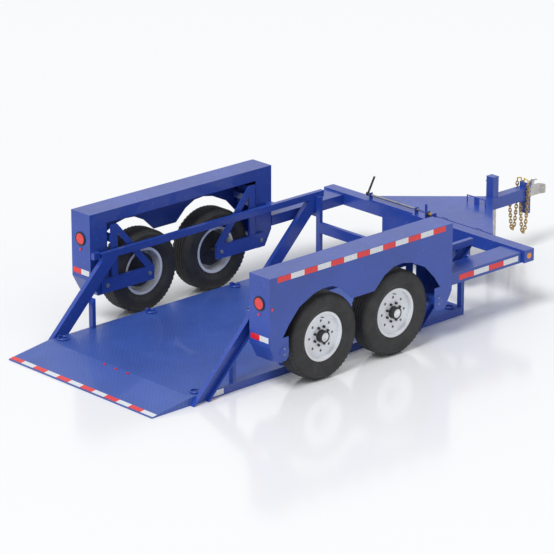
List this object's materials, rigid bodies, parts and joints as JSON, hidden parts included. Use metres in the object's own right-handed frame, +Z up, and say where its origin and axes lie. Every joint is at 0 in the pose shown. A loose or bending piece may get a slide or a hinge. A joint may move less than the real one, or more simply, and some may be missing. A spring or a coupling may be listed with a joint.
{
  "type": "flatbed trailer",
  "caption": "Drop-deck flatbed trailer whose deck lies on the ground between two wheel boxes, with tandem wheels on swing arms and a hinged tongue.",
  "frame": {"origin": "on the ground under the middle of the trailer's overall box", "axes": "+X forwards to the coupler, +Y to the trailer's left, +Z up"},
  "size_m": [5.784, 2.59, 1.065],
  "materials": {
    "frame_paint": "satin",
    "deck_paint": "satin",
    "tyre": "matte",
    "rim_paint": "gloss",
    "hub_metal": "satin",
    "bare_steel": "satin",
    "zinc_steel": "satin",
    "rubber": "matte",
    "red_lens": "gloss",
    "amber_lens": "gloss",
    "grip": "matte"
  },
  "bodies": {
    "chassis": {"air_springs": "rubber", "crossbeam": "frame_paint", "deck_crossmembers": "frame_paint", "deck_plate": "deck_paint", "frame_brackets": "frame_paint", "front_braces": "frame_paint", "front_bulkhead": "frame_paint", "hinge_lugs": "bare_steel", "latch_brackets": "frame_paint", "latch_handle": "grip", "latch_shaft": "bare_steel", "lower_beam": "frame_paint", "marker_lamps": "red_lens", "pivot_tubes": "frame_paint", "posts": "frame_paint", "ramp": "deck_paint", "rear_braces": "frame_paint", "side_markers": "amber_lens", "side_rails": "frame_paint", "side_sills": "frame_paint", "tail_lamps": "red_lens", "tie_down_rings": "frame_paint", "top_rails": "frame_paint", "wheel_box_left": "frame_paint", "wheel_box_right": "frame_paint"},
    "swing_arm_body_rear_left": {"swing_arm_rear_left": "frame_paint", "spindle_rear_left": "bare_steel"},
    "wheel_rear_left": {"tyre_rear_left": "tyre", "rim_rear_left": "rim_paint", "hub_rear_left": "hub_metal"},
    "swing_arm_body_rear_right": {"swing_arm_rear_right": "frame_paint", "spindle_rear_right": "bare_steel"},
    "wheel_rear_right": {"tyre_rear_right": "tyre", "rim_rear_right": "rim_paint", "hub_rear_right": "hub_metal"},
    "swing_arm_body_front_left": {"swing_arm_front_left": "frame_paint", "spindle_front_left": "bare_steel"},
    "wheel_front_left": {"tyre_front_left": "tyre", "rim_front_left": "rim_paint", "hub_front_left": "hub_metal"},
    "swing_arm_body_front_right": {"swing_arm_front_right": "frame_paint", "spindle_front_right": "bare_steel"},
    "wheel_front_right": {"tyre_front_right": "tyre", "rim_front_right": "rim_paint", "hub_front_right": "hub_metal"},
    "tongue": {"tongue_plate": "frame_paint", "tongue_rails": "frame_paint", "tongue_tube": "frame_paint", "coupler_channel": "frame_paint", "coupler": "zinc_steel", "jack_tube": "frame_paint", "jack_leg": "zinc_steel", "safety_chains": "zinc_steel", "cable_guide": "frame_paint"}
  },
  "joints": [
    {"name": "arm_lift_rear_left", "type": "hinge", "parent": "chassis", "child": "swing_arm_body_rear_left", "pos_m": [-1.713, 1.012, 0.385], "axis": [0, 1, 0], "range_deg": [0, 42]},
    {"name": "wheel_spin_rear_left", "type": "hinge", "parent": "swing_arm_body_rear_left", "child": "wheel_rear_left", "pos_m": [-1.2205, 1.1625, 0.385], "axis": [0, 1, 0], "continuous": true},
    {"name": "arm_lift_rear_right", "type": "hinge", "parent": "chassis", "child": "swing_arm_body_rear_right", "pos_m": [-1.713, -1.012, 0.385], "axis": [0, 1, 0], "range_deg": [0, 42]},
    {"name": "wheel_spin_rear_right", "type": "hinge", "parent": "swing_arm_body_rear_right", "child": "wheel_rear_right", "pos_m": [-1.2205, -1.1625, 0.385], "axis": [0, 1, 0], "continuous": true},
    {"name": "arm_lift_front_left", "type": "hinge", "parent": "chassis", "child": "swing_arm_body_front_left", "pos_m": [0.138, 1.012, 0.385], "axis": [0, -1, 0], "range_deg": [0, 42]},
    {"name": "wheel_spin_front_left", "type": "hinge", "parent": "swing_arm_body_front_left", "child": "wheel_front_left", "pos_m": [-0.3545, 1.1625, 0.385], "axis": [0, 1, 0], "continuous": true},
    {"name": "arm_lift_front_right", "type": "hinge", "parent": "chassis", "child": "swing_arm_body_front_right", "pos_m": [0.138, -1.012, 0.385], "axis": [0, -1, 0], "range_deg": [0, 42]},
    {"name": "wheel_spin_front_right", "type": "hinge", "parent": "swing_arm_body_front_right", "child": "wheel_front_right", "pos_m": [-0.3545, -1.1625, 0.385], "axis": [0, 1, 0], "continuous": true},
    {"name": "tongue_tilt", "type": "hinge", "parent": "chassis", "child": "tongue", "pos_m": [1.377, 0, 0.505], "axis": [0, 1, 0], "range_deg": [0, 14]}
  ]
}
